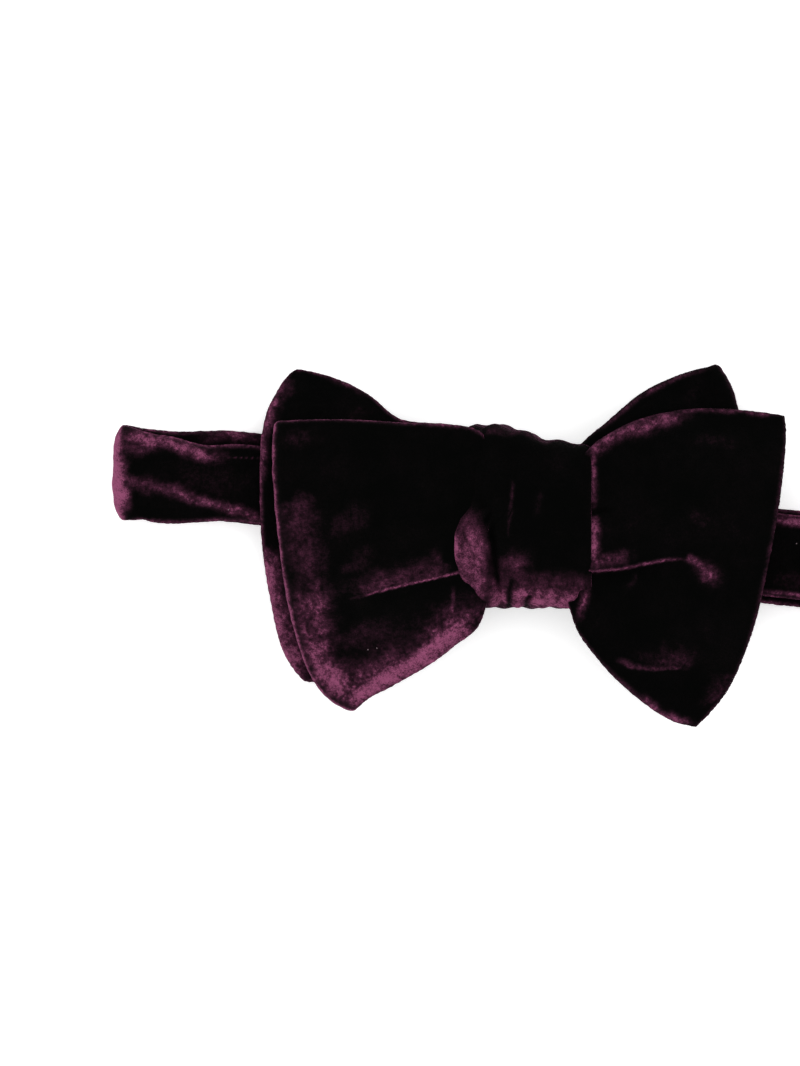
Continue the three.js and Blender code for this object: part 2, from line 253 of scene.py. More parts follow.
def make_mesh(name, top, bottom, crush_and_sheen, wrap=False):
    """Closed solid between two grids, with walls along their free edges. The marks given per point of
    the top grid hold how far the pile is pushed over together with painted sheen, as a point
    attribute."""
    nu, nv = top.shape[:2]
    points = np.concatenate([top.reshape(-1, 3), bottom.reshape(-1, 3)]) * MM
    at = np.arange(nu * nv).reshape(nu, nv)
    under = at + nu * nv
    if wrap:
        at = np.vstack([at, at[:1]])
        under = np.vstack([under, under[:1]])
    quads = [
        np.stack([at[:-1, :-1], at[1:, :-1], at[1:, 1:], at[:-1, 1:]], -1).reshape(-1, 4),
        np.stack([under[:-1, :-1], under[:-1, 1:], under[1:, 1:], under[1:, :-1]], -1).reshape(-1, 4),
        np.stack([under[:-1, 0], under[1:, 0], at[1:, 0], at[:-1, 0]], -1),
        np.stack([under[1:, -1], under[:-1, -1], at[:-1, -1], at[1:, -1]], -1),
    ]
    if not wrap:
        quads.append(np.stack([under[0, 1:], under[0, :-1], at[0, :-1], at[0, 1:]], -1))
        quads.append(np.stack([under[-1, :-1], under[-1, 1:], at[-1, 1:], at[-1, :-1]], -1))
    faces = np.concatenate(quads)
    mesh = bpy.data.meshes.new(name)
    mesh.from_pydata(points.tolist(), [], faces.tolist())
    mesh.validate()
    smooth_faces(mesh)
    # Point attribute of pushed-over pile and painted sheen, read by the velvet's colour
    layer = mesh.attributes.new("crush_and_sheen", "FLOAT", "POINT")
    values = np.concatenate([crush_and_sheen.ravel(), crush_and_sheen.ravel()])
    layer.data.foreach_set("value", np.clip(values, 0, 1).astype(np.float32))
    return link_object(name, mesh)


# ---- materials ------------------------------------------------------------------------


class Nodes:
    """Short way to build a material's node tree."""

    def __init__(self, name):
        self.material = bpy.data.materials.new(name)
        self.material.use_nodes = True
        self.tree = self.material.node_tree
        self.shader = self.tree.nodes["Principled BSDF"]
        self.coords = self.add("ShaderNodeTexCoord").outputs["Object"]

    def add(self, kind, **values):
        node = self.tree.nodes.new(kind)
        for key, value in values.items():
            setattr(node, key, value)
        return node

    def link(self, source, target):
        self.tree.links.new(source, target)

    def noise(self, scale, detail=4.0, rough=0.55, vector=None):
        node = self.add("ShaderNodeTexNoise")
        node.inputs["Scale"].default_value = scale
        node.inputs["Detail"].default_value = detail
        node.inputs["Roughness"].default_value = rough
        self.link(vector or self.coords, node.inputs["Vector"])
        return node.outputs["Fac"]

    def math(self, operation, a, b):
        node = self.add("ShaderNodeMath", operation=operation)
        for socket, value in zip(node.inputs, (a, b)):
            if isinstance(value, (int, float)):
                socket.default_value = value
            else:
                self.link(value, socket)
        return node.outputs[0]

    def ramp(self, value, stops):
        node = self.add("ShaderNodeValToRGB")
        elements = node.color_ramp.elements
        while len(elements) < len(stops):
            elements.new(0.5)
        for element, (place, colour) in zip(elements, stops):
            element.position = place
            element.color = (*colour, 1.0)
        self.link(value, node.inputs["Fac"])
        return node.outputs["Color"]

    def bump(self, height, distance, strength=1.0, after=None):
        node = self.add("ShaderNodeBump")
        node.inputs["Distance"].default_value = distance
        node.inputs["Strength"].default_value = strength
        self.link(height, node.inputs["Height"])
        if after is not None:
            self.link(after, node.inputs["Normal"])
        return node.outputs["Normal"]


def velvet_material():
    """Deep plum pile: near black face on, plum where it is pushed over, where sheen is painted into
    its colour and where it is seen along the surface.
    """
    m = Nodes("plum_velvet")
    crush_and_sheen = m.add("ShaderNodeAttribute", attribute_name="crush_and_sheen").outputs["Fac"]
    patches = m.math("SUBTRACT", m.noise(420, 4, 0.65), 0.5)
    tufts = m.math("SUBTRACT", m.noise(1600, 3, 0.7), 0.5)
    grain = m.math("SUBTRACT", m.noise(4600, 2, 0.6), 0.5)
    broken = m.math("ADD", m.math("MULTIPLY", patches, 1.2), m.math("MULTIPLY", tufts, 1.7))
    broken = m.math("ADD", broken, m.math("MULTIPLY", grain, 2.2))
    share = m.math("ADD", m.math("MULTIPLY", crush_and_sheen, 0.62), 0.07)
    pushed = m.math("ADD", crush_and_sheen, m.math("MULTIPLY", broken, share))
    # Near black to lighter plum: the lighter steps are partly pushed-over pile and partly painted
    # sheen.
    colour = m.ramp(pushed, [
        (0.0, (0.0006, 0.0007, 0.0006)),
        (0.10, (0.0017, 0.0013, 0.0014)),
        (0.28, (0.0105, 0.0036, 0.0066)),
        (0.55, (0.042, 0.0110, 0.0240)),
        (1.0, (0.215, 0.055, 0.118)),
    ])
    lint = m.add("ShaderNodeTexVoronoi")
    lint.inputs["Scale"].default_value = 230
    m.link(m.coords, lint.inputs["Vector"])
    chosen = m.math("GREATER_THAN", lint.outputs["Color"], 0.80)
    dot = m.math("MULTIPLY", m.math("LESS_THAN", lint.outputs["Distance"], 0.035), chosen)
    flecked = m.add("ShaderNodeMix", data_type="RGBA")
    m.link(dot, flecked.inputs["Factor"])
    m.link(colour, flecked.inputs["A"])
    flecked.inputs["B"].default_value = (0.16, 0.12, 0.13, 1.0)
    m.link(flecked.outputs["Result"], m.shader.inputs["Base Color"])
    normal = m.bump(m.noise(420, 4, 0.65), 0.0006, 0.6)
    normal = m.bump(m.noise(2400, 2, 0.6), 0.0002, 0.7, normal)
    m.link(normal, m.shader.inputs["Normal"])
    m.shader.inputs["Roughness"].default_value = 0.9
    m.shader.inputs["Specular IOR Level"].default_value = 0.02
    m.shader.inputs["Sheen Weight"].default_value = 0.55
    m.shader.inputs["Sheen Roughness"].default_value = 0.16
    m.shader.inputs["Sheen Tint"].default_value = (0.50, 0.16, 0.32, 1.0)
    return m.material


def thread_material():
    """Twisted sewing thread in the velvet's colour."""
    m = Nodes("plum_thread")
    twist = m.add("ShaderNodeTexWave", wave_type="BANDS", bands_direction="X")
    twist.inputs["Scale"].default_value = 1500
    m.link(m.coords, twist.inputs["Vector"])
    colour = m.ramp(m.noise(600), [(0.3, (0.02, 0.008, 0.016)), (0.8, (0.07, 0.03, 0.055))])
    m.link(colour, m.shader.inputs["Base Color"])
    m.link(m.bump(twist.outputs["Fac"], 0.0001, 0.7), m.shader.inputs["Normal"])
    m.shader.inputs["Roughness"].default_value = 0.55
    return m.material


def nickel_material():
    """Satin nickel plate with fine drawn lines and faint handling marks."""
    m = Nodes("satin_nickel")
    stretch = m.add("ShaderNodeMapping")
    stretch.inputs["Scale"].default_value = (1.0, 14.0, 1.0)
    m.link(m.coords, stretch.inputs["Vector"])
    lines = m.noise(700, 3, 0.6, stretch.outputs["Vector"])
    marks = m.noise(220, 5, 0.65)
    colour = m.ramp(marks, [(0.3, (0.50, 0.48, 0.45)), (0.7, (0.66, 0.64, 0.60))])
    m.link(colour, m.shader.inputs["Base Color"])
    rough = m.math("ADD", m.math("MULTIPLY", marks, 0.22), 0.18)
    m.link(rough, m.shader.inputs["Roughness"])
    m.link(m.bump(lines, 0.00003, 0.5), m.shader.inputs["Normal"])
    m.shader.inputs["Metallic"].default_value = 1.0
    return m.material


VELVET = velvet_material()
THREAD = thread_material()
NICKEL = nickel_material()


def finish_piece(piece, material, nodes):
    piece.data.materials.append(material)
    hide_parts(*nodes)


def plies(name):
    return [f"{name}_{ply}" for ply in ("front_velvet", "interlining", "back_velvet")]


# ---- wings ------------------------------------------------------------------------------


def drape(x, y):
    """Height of the lowest wing layer: level over the band and sinking beside it."""
    beside = np.clip((np.abs(y - BAND_SLOPE * x) - FALL_START) / FALL_LENGTH, 0, 1)
    fall = WING_FALL * np.sin(np.pi / 2 * beside) ** 2
    return REAR_Z - fall * smooth(0, 1, (np.abs(x) - ROOT_X) / 26)


class Wing:
    """Outline of one wing: a lower and an upper edge, from inside the knot outwards, and the curve
    of its outer end from the lower corner to the upper one. rounding and corner say how much and
    how tightly the outer corners are rounded, and upper_share how much of that the upper one gets."""

    def __init__(self, lower, upper, end, rounding, corner, upper_share=1.0):
        self.lower, self.upper, self.end = lower, upper, end
        self.rounding, self.corner, self.upper_share = rounding, corner, upper_share

    def plan(self, u, v):
        rounding = self.rounding * np.where(v > 0.5, self.upper_share, 1.0)
        w = u * (1 - rounding * np.abs(2 * v - 1) ** self.corner)
        v = 0.5 + (v - 0.5) * (1 - rounding * u**self.corner)
        low, high = spline(self.lower, w), spline(self.upper, w)
        point = low * (1 - v[..., None]) + high * v[..., None]
        low_corner, high_corner = np.array(self.lower[-1]), np.array(self.upper[-1])
        straight = low_corner * (1 - v[..., None]) + high_corner * v[..., None]
        point += (spline(self.end, v) - straight) * w[..., None] ** 2.2
        return point[..., 0], point[..., 1] + BOW_Y


def edge_roll(distance, radius):
    """Share of the full thickness at a distance from a rounded edge."""
    t = np.clip(1 - distance / radius, 0, 1)
    return np.sqrt(np.maximum(1 - t * t, 0))


def arc_lengths(grid, axis):
    step = np.linalg.norm(np.diff(grid, axis=axis), axis=-1)
    pad = [(0, 0), (0, 0)]
    pad[axis] = (1, 0)
    return np.pad(np.cumsum(step, axis=axis), pad)


def edge_distance(grid, ends=(False, True)):
    """Distance of each grid point from the free edges: both sides, and the chosen ends."""
    across = arc_lengths(grid, 1)
    distance = np.minimum(across, across[:, -1:] - across)
    along = arc_lengths(grid, 0)
    if ends[0]:
        distance = np.minimum(distance, along)
    if ends[1]:
        distance = np.minimum(distance, along[-1:] - along)
    return distance


def even(count):
    """Values from 0 to 1 that crowd a little towards both ends."""
    t = np.linspace(0, 1, count)
    return t - 0.5 * np.sin(2 * np.pi * t) / (2 * np.pi)


def cloth_solid(name, middle, relief, under_relief, crush_and_sheen, ends, rim_sheen=0.4, thickness=STRIP):
    """Puts the two faces of a sewn strip on either side of its middle surface, with rounded-over
    edges.
    The rim argument sets how strongly a painted sheen, lighter plum, shows along them."""
    distance = edge_distance(middle, ends)
    normal = normals(middle)
    fuzz = np.exp(-distance / 0.7)[..., None] * np.array([1, 1, 0])
    bristle = [rumple(middle, 0.75, k) + 0.35 * rumple(middle, 2.2, k + 3) for k in (11, 12, 13)]
    middle = middle + fuzz * np.stack(bristle, -1) * 0.13 * (thickness / STRIP) ** 2
    ripple = (0.16 * rumple(middle, 5.0, 3) + 0.12 * rumple(middle, 1.5, 4)) * thickness / STRIP
    half = thickness / 2 * edge_roll(distance, 1.5)
    seam = -0.08 * np.exp(-(((distance - 2.6) / 0.7) ** 2))
    inside = smooth(0, 1.2, distance)
    top = middle + normal * (half + (relief + ripple + seam) * inside)[..., None]
    bottom = middle - normal * (half + (under_relief + ripple) * inside)[..., None]
    solid = smooth(0.45, 0.95, crush_and_sheen)
    mottle = 1 + (0.40 * rumple(middle, 2.6, 21) + 0.55 * rumple(middle, 0.9, 22)) * (1 - 0.7 * solid)
    haze = 0.03 + 0.06 * rumple(middle, 13, 25) + 0.03 * rumple(middle, 4, 26)
    # Painted sheen: lighter plum in a band along the free edges, broken up by noise.
    sheen_breakup = 1 + 0.5 * rumple(middle, 4.0, 23) + 0.5 * rumple(middle, 0.8, 24)
    edge_sheen = rim_sheen * np.exp(-((distance / 0.95) ** 2)) * sheen_breakup
    return make_mesh(name, top, bottom, np.maximum.reduce([crush_and_sheen * mottle, edge_sheen, haze]))


def leaf_middle(wing, lift, u, v):
    x, y = wing.plan(u, v)
    return np.stack([x, y, drape(x, y) + lift], -1)


def end_piece(name, wing, lift, shape, rim_sheen):
    """Free end of a strip: one leaf."""
    u, v = np.meshgrid(even(130), even(200), indexing="ij")
    middle = leaf_middle(wing, lift, u, v)
    relief, crush_and_sheen = shape(middle[..., 0], middle[..., 1] - BOW_Y, v, *tousled(middle, 31))
    return cloth_solid(name, middle, relief, 0.3 * relief, crush_and_sheen, (False, True), rim_sheen)


def loop_piece(name, wing, lift, shape, rim_sheen):
    """Folded loop: the upper leaf runs out, folds over and the lower leaf runs back."""
    radius = LEAF_PITCH / 2
    lead, turn = 120, 20
    v = even(200)[None]
    one = np.ones_like(v)
    tip, inner = (np.stack(wing.plan(k * one, v), -1) for k in (1.0, 0.96))
    length = np.linalg.norm(tip - inner, axis=-1) / 0.04
    reach = 1 - (radius + STRIP / 2) / length
    out = even(lead)[:, None]
    uu, vv = out * reach, v + 0 * out
    upper = leaf_middle(wing, lift + LEAF_PITCH, uu, vv)
    relief, crush_and_sheen = shape(upper[..., 0], upper[..., 1] - BOW_Y, vv, *tousled(upper, 31))
    puff = 2.2 * np.sin(np.pi * vv) ** 0.7 * np.sin(np.pi * out) ** 0.8
    upper[..., 2] += puff
    lower = leaf_middle(wing, lift, uu, vv)[::-1]
    edge = leaf_middle(wing, lift + radius, reach, v)
    outward = edge - leaf_middle(wing, lift + radius, reach - 0.05, v)
    outward[..., 2] = 0
    outward /= np.linalg.norm(outward, axis=-1, keepdims=True)
    angle = np.linspace(np.pi / 2, -np.pi / 2, turn + 2)[1:-1, None, None]
    fold = edge + outward * radius * np.cos(angle) + np.array([0, 0, radius]) * np.sin(angle)
    middle = np.concatenate([upper, fold, lower])
    relief = np.concatenate([relief, np.zeros((turn + lead, v.size))])
    turned = crush_and_sheen[-1:] * smooth(0, np.pi / 2, angle[..., 0])
    # Painted sheen: a lighter band over the upper part of the fold.
    fold_sheen = 1.3 * rim_sheen * np.exp(-(((angle[..., 0] - 0.35) / 0.42) ** 2)) + 0 * v
    crush_and_sheen = np.concatenate([crush_and_sheen, np.maximum(turned, fold_sheen), 0.12 + 0 * uu])
    return cloth_solid(name, middle, relief, 0 * relief, crush_and_sheen, (False, False), rim_sheen)


LEFT_FRONT = Wing(
    [
        [-TUCK_X, -17], [-12, -26.4], [-18, -31.4], [-24, -36.1],
        [-33, -41.6], [-38.4, -45.2], [-43.8, -51.6],
    ],
    [[-TUCK_X, 20], [-13, 22.7], [-19, 23.6], [-31, 24.1], [-47, 25.0], [-64.4, 25.4]],
    [
        [-43.8, -51.6], [-51.6, -42.9], [-56.2, -33], [-59.4, -20],
        [-61.4, -6], [-63.0, 10], [-64.4, 25.4],
    ],
    0.06,
    7,
    0.35,
)
RIGHT_FRONT = Wing(
    [[TUCK_X, -16], [12.3, -26.2], [15, -30.9], [21, -38.2], [28.7, -45], [36.2, -50], [43, -52.2]],
    [[TUCK_X, 12], [15, 17], [19, 20.4], [28.7, 25.2], [43.7, 27.9], [66.3, 26.8]],
    [[43, -52.2], [50.9, -42.4], [56.2, -29], [59.8, -14], [62.8, 2], [66.3, 26.8]],
    0.012,
    20,
)
LEFT_REAR = Wing(
    [[-TUCK_X, -14], [-ROOT_X, -26], [-31, -34], [-44, -40.2], [-56.6, -42.4]],
    [[-TUCK_X, 15], [-14, 22.5], [-19, 24.0], [-31, 25.3], [-39, 31.4], [-48, 36.0], [-59.7, 40]],
    [
        [-56.6, -42.4], [-61.1, -32.6], [-63.8, -20], [-65.8, -6], [-66.3, 8],
        [-66.0, 20], [-64.6, 27], [-62.3, 32.5], [-59.7, 40],
    ],
    0.04,
    10,
)
RIGHT_REAR = Wing(
    [[TUCK_X, -14], [ROOT_X, -24], [31, -31.5], [46, -36]],
    [[TUCK_X, 14], [16, 20.8], [19.5, 23.6], [28.7, 31.5], [38.7, 36.6], [50.3, 40.8]],
    [[46, -36], [54.5, -24], [57.5, -6], [57.4, 12], [54.3, 26.5], [50.3, 40.8]],
    0.035,
    10,
)


def gathers(x, v, seed, depth=0.7, length=9.0):
    """Small folds that start in the knot and die out along the wing."""
    fade = np.exp(-np.maximum(np.abs(x) - 15, 0) / length)
    return depth * fade * (np.sin(v * 23 + seed) + 0.6 * np.sin(v * 41 + 2.1 * seed))


def pleat(x, y, path, depth, height):
    """Cloth folded over itself along a path from the knot: a rounded lip above a hollow. Also gives
    how strong the fold is at each point and the distance above its line."""
    distance, side, share = near_path(x, y, path)
    s = distance * side
    inside = (np.abs(x) < abs(path[-1][0])) * (1 - smooth(0.45, 1.0, share))
    lip = height * np.exp(-np.maximum(s, 0) / 4.0)
    hollow = -depth * np.exp(np.minimum(s, 0) / 4.5)
    step = smooth(-0.45, 0.25, s)
    return inside * (lip * step + hollow * (1 - step)), inside, s


def left_front_shape(x, y, v, wx, wy):
    crease = [
        (-12, -12.2), (-17.5, -13.4), (-24, -14.9), (-30, -16.1),
        (-36, -17.4), (-43, -19.0), (-50, -21),
    ]
    fold, strength, above_line = pleat(x, y, crease, 1.5, 1.7)
    relief = (
        fold
        + gathers(x, v, 0.7, 0.30)
        + 0.6 * bell(x, y, (-46, -0.5), (4.6, 3.6), 0.5)
        - 0.5 * bell(x, y, (-51, -2), (8, 1.4), 1.45)
        - 0.6 * bell(x, y, (-19.4, -21), (5, 0.9), 1.5)
        + 0.5 * bell(x, y, (-18.2, -21), (4, 0.8), 1.5)
        - 0.5 * bell(x, y, (-38, -33), (6, 1.3), 1.25)
        - 0.5 * bell(x, y, (-33, -31.5), (5, 1.0), 1.9)
    )
    bottom = [(-46, -43), (-42.5, -44), (-36, -40), (-28, -35.5), (-21, -30), (-13, -23)]
    # Lighter plum marks: pushed-over pile, with painted sheen on the crease lip, the outer edge and
    # the lower corner.
    crush_and_sheen = strongest([
        stroke(x, y, crease[:6], 0.3, 0.90, above=0.55) * np.minimum(1, 0.4 + strength),
        stroke(wx, wy, crease[1:6], 0.2, 0.42, above=5.6),
        stroke(wx, wy, [(-57, 7), (-56, -2), (-54.5, -10), (-52.5, -17)], 4.8, 0.32),
        stroke(wx, wy, [(-61.5, -16), (-59, -27), (-53.5, -38), (-46, -45)], 5.8, 0.88),
        stroke(x, y, [(-62, -14), (-60, -24), (-56, -33), (-50, -41)], 3.0, 0.70),
        stroke(wx, wy, [(-54, -14), (-52, -24), (-49, -33)], 4.2, 0.50),
        0.84 * bell(0.5 * (x + wx), 0.5 * (y + wy), (-47.5, -41), (6.5, 5.2), 0.4),
        stroke(x, y, bottom, 5.0, 0.86, above=2.4),
        stroke(wx, wy, bottom, 3.0, 0.60, above=6.0),
        0.25 * bell(wx, wy, (-39, -28.5), (9.5, 4.5), 0.2),
        0.20 * bell(wx, wy, (-45, -1.0), (5.4, 4.0), 0.4),
        0.24 * bell(wx, wy, (-42, -10), (4, 2.4), 0.3),
        stroke(x, y, [(-18.2, -15.8), (-18.2, -19), (-18.6, -24)], 0.6, 0.55),
        0.60 * bell(wx, wy, (-14, -24.5), (4.5, 2.4), 0.6),
        0.20 * bell(wx, wy, (-56, 20), (5, 2.5), 0.1),
    ])
    # Painted shade: the marks are darkened in the hollow below the crease.
    hollow = smooth(-6.5, -0.3, above_line) * (1 - smooth(-0.3, 0.1, above_line))
    hollow = hollow * smooth(-46, -38, x)
    return relief, crush_and_sheen * (1 - 0.95 * hollow)


def right_front_shape(x, y, v, wx, wy):
    crease = [
        (12, -13.3), (16.2, -12.9), (23.7, -12.3), (30, -11), (35, -10), (39, -9.8), (43, -11),
    ]
    fold = pleat(x, y, crease, 1.5, 1.5)[0]
    comma = [(39.5, -9.2), (42.0, -10.2), (44.4, -12.0), (46.2, -14.2)]
    shoulder = [(14.5, 15.4), (17.5, 18.4), (21, 20.8), (26, 22.6), (32, 24.4), (40, 26.2)]
    lower = [(21.5, -35.4), (27, -36.8), (33, -36.6), (40, -35.6)]
    relief = (
        fold
        + gathers(x, v, 2.3, 0.28)
        + stroke(x, y, comma, 2.2, 1.2)
        - 0.9 * bell(x, y, (18.9, 2.4), (2.2, 0.5), 0.1)
        + stroke(x, y, lower, 1.4, 0.9, above=3.5)
    )
    nx, ny = 0.7 * x + 0.3 * wx, 0.7 * y + 0.3 * wy
    # Lighter plum marks: pushed-over pile, with painted sheen on the crease lip, the comma fold and
    # the upper and lower edges.
    crush_and_sheen = strongest([
        stroke(x, y, crease[:6], 0.3, 0.80, above=0.55),
        stroke(nx, ny, [(18, -10.5), (22, -9.8), (26, -8.6)], 2.0, 0.40),
        0.60 * bell(nx, ny, (45.4, -13.2), (3.4, 2.3), -0.85),
        stroke(nx, ny, comma[:3], 1.0, 0.56),
        stroke(nx, ny, shoulder, 2.4, 0.56, above=3.0),
        stroke(nx, ny, [(36, 26.6), (50, 27.2), (64, 25.8)], 0.9, 0.46),
        stroke(nx, ny, [(16.7, 19), (16.7, 10), (16.6, 3.2)], 0.9, 0.62),
        stroke(nx, ny, [(17.2, 1.4), (17.4, -6), (17.6, -12)], 1.5, 0.76),
        stroke(nx, ny, lower, 0.5, 0.38, above=1.2),
        0.38 * bell(wx, wy, (35.5, -33.4), (6.5, 2.8), 0.1) * smooth(-37.2, -35.8, ny),
        stroke(nx, ny, [(27, -44), (32, -47.6), (37, -50.2), (43, -51.6)], 1.4, 0.62),
        0.28 * bell(wx, wy, (48.5, -42), (5.0, 2.6), 1.05),
        0.14 * bell(wx, wy, (44, 0.6), (3.5, 3), 0),
        0.16 * bell(wx, wy, (47, 18.5), (6, 2), 0.1),
        0.18 * bell(wx, wy, (26, -16), (2.4, 0.9), 1.3),
        0.60 * bell(nx, ny, (14.6, -20), (4.5, 1.3), 1.35),
    ])
    return relief, crush_and_sheen


def left_rear_shape(x, y, v, wx, wy):
    relief = gathers(x, v, 4.0, 0.25)
    nx, ny = 0.6 * x + 0.4 * wx, 0.6 * y + 0.4 * wy
    # Lighter plum along the outer edges: painted sheen, with pushed-over pile.
    crush_and_sheen = strongest([
        stroke(nx, ny, [(-60.5, 37), (-63.6, 29), (-65.6, 20), (-66, 8)], 1.3, 0.60),
        stroke(nx, ny, [(-66.0, -6), (-64.0, -20), (-61.2, -32), (-55, -40.5)], 4.4, 0.84),
        stroke(nx, ny, [(-60, 38), (-48, 35.4), (-39, 30.8)], 0.9, 0.46),
        0.30 * bell(wx, wy, (-62, 31), (6, 2.2), 1.1),
        0.12 * bell(wx, wy, (-42, 27), (7, 1.6), 0.1),
    ])
    return relief, crush_and_sheen


def right_rear_shape(x, y, v, wx, wy):
    relief = gathers(x, v, 5.2, 0.25)
    crush_and_sheen = strongest([
        # Lighter plum along the upper edge: painted sheen.
        stroke(x, y, [(18, 21.5), (28, 30.4), (38, 35.8), (48, 38.6)], 0.8, 0.34),
        0.12 * bell(wx, wy, (42, 31), (5, 2.5), 0.8),
    ])
    return relief, crush_and_sheen


# ---- knot ---------------------------------------------------------------------------------


def knot_edge_left(y):
    """The wrap's left edge: a soft lobe bulges out of its lower half."""
    heights = [-23, -20, -17, -13, -8, -3.5, -0.5, 2.5, 6, 24]
    edge = [-8, -12.2, -14.5, -16.5, -18.1, -18.4, -17.2, -14.6, -13.2, -12.4]
    return np.interp(y, heights, edge)


def squared(wave, power):
    """Turns a sine or cosine into one with flatter tops, for a box-like round."""
    return np.sign(wave) * np.abs(wave) ** power


def knot_piece():
    """Ruched wrap round the middle of the bow, closed at the back."""
    around, along = 190, 84
    angle = np.linspace(-np.pi / 2, 1.5 * np.pi, around, endpoint=False)[:, None]
    t = even(along)[None]
    half_height = (KNOT_HIGH[1] - KNOT_LOW[1]) / 2
    middle_z = (KNOT_HIGH[2] + KNOT_LOW[2]) / 2
    half_depth = (KNOT_HIGH[2] - KNOT_LOW[2]) / 2
    half_thickness = KNOT_THICKNESS / 2
    up = squared(np.cos(angle), 0.55)
    out = squared(np.sin(angle), 0.55)
    tuck = np.abs(2 * t - 1) ** 7
    depth = (half_depth - half_thickness) * (1 - 0.20 * tuck)
    height = (half_height - half_thickness) * (1 - 0.10 * tuck)
    y = up * height
    z = middle_z + out * depth
    front = smooth(-0.2, 0.5, out)
    left = front * knot_edge_left(y) + (1 - front) * KNOT_LOW[0]
    right = KNOT_HIGH[0] - 0.3 + 0 * y
    x = left + (right - left) * t
    # the front's upper edge is higher at the left than at the right
    rise = 1.9 - 4.1 * smooth(-8, 9, x)
    y = y + rise * smooth(0.2, 1.0, up)
    middle = np.stack([x, y + BOW_Y, z + 0 * x], -1)
    groove_x = np.interp(y, [-22, -14, -4, 8], [-5.5, -8.0, -8.6, -12.0])
    lobe = np.minimum(1, 1.3 * bell(x, y, (-13.4, -9.5), (11.0, 4.2), 1.62))
    lobe = lobe * smooth(5.5, -1, y)
    relief = front * (
        1.2 * lobe
        - 1.2 * np.exp(-(((x - groove_x) / 0.8) ** 2)) * smooth(9, 2, y)
        + 0.55 * np.sin(x * 0.95 + 0.10 * y) * smooth(-2, -16, y)
        + 0.45 * np.sin(x * 0.78 + 0.6 + 0.05 * y) * smooth(4, 18, y)
        - 0.7 * bell(x, y, (-3.5, -21), (6, 1.2), 1.4)
        - 0.6 * bell(x, y, (2.6, -20), (6, 1.0), 1.75)
        - 0.35 * bell(x, y, (-4.2, 5), (9, 0.9), 1.5)
        - 0.30 * bell(x, y, (4.0, 6), (7, 0.9), 1.6)
    )
    relief = relief + (1 - front) * 0.35 * np.sin(x * 0.9)
    wx, wy = tousled(middle, 51)
    wx, wy = 0.5 * (wx + x), 0.5 * (wy + y)
    # Lighter plum marks on the wrap: pushed-over pile, with painted sheen on the lobe and along its
    # lower left.
    lobe_sheen = np.minimum(1, 1.6 * bell(wx, wy, (-13.2, -10.5), (11.5, 3.9), 1.70))
    crush_and_sheen = front * strongest([
        0.60 * lobe_sheen * smooth(5, -1.5, wy + 0.5 * (wx + 13)),
        stroke(wx, wy, [(-17.8, -3), (-17, -12), (-14, -19), (-10, -21.8)], 2.0, 0.90),
        0.74 * smooth(-12.8, -19.0, wy + 0.12 * wx) * smooth(-10.5, -7.5, x),
        0.36 * smooth(-9.5, -15.5, wy + 0.10 * wx) * smooth(-9.5, -7, x),
        0.50 * bell(wx, wy, (-2.5, -11.5), (4.5, 3.0), 0.5),
        stroke(0.8 * x + 0.2 * wx, y, [(-3.2, 10), (-3.7, 3), (-4.3, -4)], 0.5, 0.26),
        stroke(0.8 * x + 0.2 * wx, y, [(-13.0, 16), (-13.6, 9), (-14.2, 4)], 0.7, 0.28),
        stroke(wx, wy, [(3.3, 7), (3.2, 2)], 1.0, 0.18),
        stroke(wx, wy, [(-11, 21.5), (-4, 21), (2, 19), (9, 18)], 0.8, 0.24),
    ])
    creases = strongest([
        stroke(x, y, [(-10.0, 1), (-8.2, -5), (-7.4, -12), (-6.6, -18)], 0.55, 1.0),
        stroke(x, y, [(-3.2, -14), (-4.2, -18), (-4.0, -22)], 0.7, 1.0),
        stroke(x, y, [(1.4, -18.5), (0.0, -20.5), (0.6, -22)], 0.6, 0.9),
        0.6 * bell(x, y, (4.0, -10.5), (1.4, 2.2), 0),
    ])
    # The creases are sunk, and the marks are darkened in them as painted shade.
    relief = relief - 0.9 * creases * front
    crush_and_sheen = crush_and_sheen * (1 - 0.9 * creases)
    normal = normals(middle, True)
    distance = edge_distance(middle, (False, False))
    half = half_thickness * edge_roll(distance, 1.3)
    ripple = 0.16 * rumple(middle, 4.0, 7) + 0.10 * rumple(middle, 1.4, 8)
    inside = smooth(0, 2.0, distance)
    crush_and_sheen = crush_and_sheen * (1 + 0.34 * rumple(middle, 2.4, 41) + 0.40 * rumple(middle, 1.0, 42))
    crush_and_sheen = np.maximum(crush_and_sheen, 0.03 + 0.05 * rumple(middle, 11, 25) + 0.03 * rumple(middle, 4, 26))
    top = middle + normal * (half + (relief + ripple) * inside)[..., None]
    bottom = middle - normal * half[..., None]
    # Painted sheen: lighter plum along the wrap's edges.
    crush_and_sheen = np.maximum(crush_and_sheen, 0.25 * np.exp(-distance / 0.8))
    return make_mesh("knot", top, bottom, crush_and_sheen, True)


# ---- neckband -----------------------------------------------------------------------------


def hump(x):
    """The strap rides a little higher where the slider runs on it."""
    start, stop = SLIDER_REST - SLIDER_ROOM, SLIDER_REST + SLIDER_TRAVEL + SLIDER_ROOM
    return SLIDER_HUMP * smooth(-6, 0, x - start) * smooth(-6, 0, stop - x)


